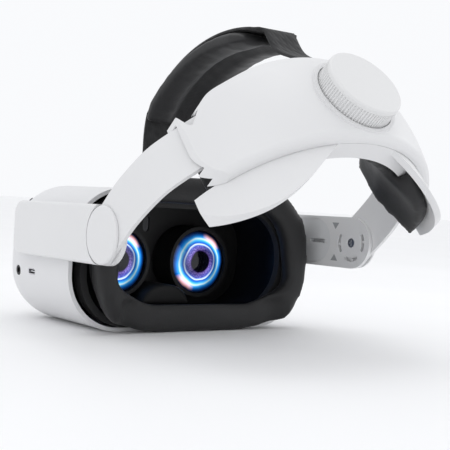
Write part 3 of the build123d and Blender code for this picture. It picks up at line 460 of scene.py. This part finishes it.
def smooth_path(corners, steps=8):
    """A Catmull-Rom curve through the corners."""
    spots = []
    first = corners[0] * 2 - corners[1]
    last = corners[-1] * 2 - corners[-2]
    ends = [first] + corners + [last]
    for i in range(1, len(ends) - 2):
        p0, p1, p2, p3 = ends[i - 1:i + 3]
        for step in range(steps):
            t = step / steps
            squared = (2 * p0 - 5 * p1 + 4 * p2 - p3) * t * t
            cubed = (3 * p1 - p0 - 3 * p2 + p3) * t ** 3
            spots.append(0.5 * (2 * p1 + (p2 - p0) * t + squared + cubed))
    spots.append(corners[-1])
    return spots


# ---- face side -------------------------------------------------------------------
def shape_cushion(piece):
    """Thins the cushion beside the nose and narrows its bands at the cheeks."""
    front = at(0, CUSHION_FRONT_Y, 0).y
    for vertex in piece.data.vertices:
        spot = vertex.co / MM - EYE
        nose_gap = smooth(-14, -24, spot.z) * smooth(59, 52, abs(spot.x))
        cheek = smooth(12, -12, spot.z) * smooth(48, 60, abs(spot.x))
        band = (CUSHION_HALF - abs(spot.x)) * (1 - CHEEK_NARROWING * cheek)
        vertex.co.x = (math.copysign(CUSHION_HALF - band, spot.x) + EYE.x) * MM
        vertex.co.y = front + (vertex.co.y - front) * (1 - NOSE_GAP_SQUASH * nose_gap)
        vertex.co.z += NOSE_GAP_LIFT * MM * nose_gap


cushion = soft_copy("face_cushion", "face_cushion_cover", finishes["cushion_foam"], 0.0022, 14)
swell(cushion, 0.0009)
shape_cushion(cushion)
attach(cushion, "headset")
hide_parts("face_cushion")

nose = soft_copy("nose_rest", "nose_rest_cover", finishes["soft_rubber"], 0.0016, 8)
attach(nose, "headset")
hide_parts("nose_rest")

# ---- rear pads -------------------------------------------------------------------
for side in ("left", "right"):
    pad = soft_copy("rear_pad_" + side, "rear_pad_cover_" + side, finishes["pad_foam"], 0.0022, 8)
    swell(pad, 0.0004)
    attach(pad, "halo")
    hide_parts("rear_pad_" + side)


# ---- pad over the head: two raised ribs with a channel between them ----------------
def pad_spot(angle, turn, plump):
    """A point round the pad's section; plump is 0 at the ends and 1 between them."""
    across, lift = math.cos(turn), math.sin(turn)
    x = math.copysign(abs(across) ** 0.55, across) * PAD_HALF * (0.86 + 0.14 * plump)
    lift = math.copysign(abs(lift) ** 0.6, lift)
    middle = (PAD_INNER_R + PAD_OUTER_R) / 2
    half = (PAD_OUTER_R - PAD_INNER_R) / 2
    radius = middle + half * lift * (0.25 + 0.75 * plump)
    if lift < 0:
        channel = CHANNEL_DEPTH * math.exp(-(x / CHANNEL_HALF) ** 2)
        ribs = RIB_RISE * math.exp(-((abs(x) - RIB_X) / RIB_HALF) ** 2)
        radius += -lift * plump * (channel - ribs + UNDERSIDE_LIFT)
    ripple = noise.noise(Vector((x * 0.12, angle * 0.35, lift * 2.0))) * PAD_RIPPLE
    return arch(radius + ripple * plump, angle, x)


def top_pad(along=96, around=72):
    points, faces = [], []
    span = PAD_TO - PAD_FROM
    for i in range(along + 1):
        share = i / along
        plump = min(1.0, min(share, 1 - share) * span / PAD_TAPER) ** 0.45
        for j in range(around):
            points.append(pad_spot(PAD_FROM + span * share, 2 * math.pi * j / around, plump))
    for i in range(along):
        for j in range(around):
            a, b = i * around + j, i * around + (j + 1) % around
            faces.append((a, b, b + around, a + around))
    faces.append(tuple(range(around)))
    last = along * around
    faces.append(tuple(reversed(range(last, last + around))))
    return mesh_piece("top_pad_cover", points, faces, finishes["pad_foam"])


crown_pad = top_pad()
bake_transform(crown_pad)
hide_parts("top_pad")

# ---- webbing: over the pad, down to the rear housing, and down to the body ----------
full_width = 2 * WEB_HALF * MM

crown_path = [arch(WEB_R, 37.5 + step) for step in range(60)]
crown_strip = strip("webbing_crown", crown_path, [full_width] * len(crown_path))
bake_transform(crown_strip)


def neck_width(index, tapered=9):
    """The webbing's width behind the pad: it narrows over the first spots."""
    taper = max(0.0, 1 - index / tapered)
    return 2 * (NECK_HALF + (WEB_HALF - NECK_HALF) * taper ** 1.5) * MM


neck_path = smooth_path([
    arch(WEB_R, 96.6),
    arch(WEB_R - 0.2, 99.0),
    at(0, -123.5, 125.3),
    strap_spot(109.2, 34.4),
    strap_spot(109.7, 30.0),
    strap_spot(109.7, 24.2),
])
neck_widths = [neck_width(index) for index in range(len(neck_path))]
neck_strip = strip("webbing_neck", neck_path, neck_widths)
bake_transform(neck_strip)
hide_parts("top_webbing_rear")

front_path = smooth_path([
    at(0, -0.7, 51.7),
    at(0, -0.7, 66),
    at(0, -0.8, 82),
    at(0, -2.6, 92.6),
    arch(WEB_R, 38.6),
])
front_strip = strip("webbing_front", front_path, [full_width] * len(front_path))
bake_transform(front_strip)
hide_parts("top_webbing_front")

# ---- arrows moulded into the inner faces of the side arms ---------------------------
PRISM_FACES = [(0, 1, 2), (3, 5, 4), (0, 3, 4, 1), (1, 4, 5, 2), (2, 5, 3, 0)]
mark = plastic("mark_grey", (0.33, 0.34, 0.35), (0.5, 0.6))
for side, body in ((1, "temple_right"), (-1, "temple_left")):
    x = side * (ARM_INNER - ARROW_SUNK)
    for z, point in ARROW_PLACES:
        foot = z - point * ARROW_FOOT
        face = [
            at(x, ARROW_Y - ARROW_HALF, foot),
            at(x, ARROW_Y + ARROW_HALF, foot),
            at(x, ARROW_Y, z + point * ARROW_TIP),
        ]
        back = [corner + Vector((side * ARROW_THICK * MM, 0, 0)) for corner in face]
        name = f"arrow_{body}_{'up' if point > 0 else 'down'}"
        arrow = mesh_piece(name, face + back, PRISM_FACES, mark, rounded=False)
        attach(arrow, body)

dress_nodes()


# ---- floor, light and camera ---------------------------------------------------------
def pale_floor():
    material, tree, shader = new_material("floor_pale")
    tinted(tree, shader, (0.93, 0.93, 0.935), 0.01, 3.0)
    set_shader(shader, Roughness=0.7)
    half = FLOOR_HALF
    corners = [(-half, -half, 0), (half, -half, 0), (half, half, 0), (-half, half, 0)]
    return mesh_piece("floor", corners, [(0, 1, 2, 3)], material)


def area_light(name, place, target, size, power):
    data = bpy.data.lights.new(name, "AREA")
    data.shape = "DISK"
    data.size = size
    data.energy = power
    lamp = bpy.data.objects.new(name, data)
    lamp.location = place
    lamp.rotation_euler = (Vector(target) - Vector(place)).to_track_quat("-Z", "Y").to_euler()
    bpy.context.scene.collection.objects.link(lamp)


def studio_world():
    world = bpy.data.worlds.new("studio")
    world.use_nodes = True
    background = world.node_tree.nodes["Background"]
    background.inputs["Color"].default_value = (0.97, 0.98, 1.0, 1)
    background.inputs["Strength"].default_value = 0.98
    return world


def studio_camera():
    data = bpy.data.cameras.new("camera")
    data.sensor_width = CAMERA_SENSOR
    data.lens = CAMERA_LENS
    data.clip_start = 0.01
    camera = bpy.data.objects.new("camera", data)
    sight = CAMERA_SIGHT.normalized()
    upward = CAMERA_RIGHT.normalized().cross(sight).normalized()
    turned = Matrix((sight.cross(upward), upward, -sight)).transposed().to_4x4()
    camera.matrix_world = Matrix.Translation(CAMERA_PLACE) @ turned
    bpy.context.scene.collection.objects.link(camera)
    return camera


floor = pale_floor()
area_light("key", (-0.9, -0.7, 1.0), (0, 0, 0.08), 0.5, 1.0)
area_light("top", (0.1, 0.1, 1.3), (0, 0, 0.1), 0.8, 1.2)
area_light("rim", (0.9, -0.2, 0.5), (0, 0, 0.08), 0.5, 0.5)
bpy.context.scene.world = studio_world()
bpy.context.scene.camera = studio_camera()
bpy.context.scene.view_settings.view_transform = "Standard"
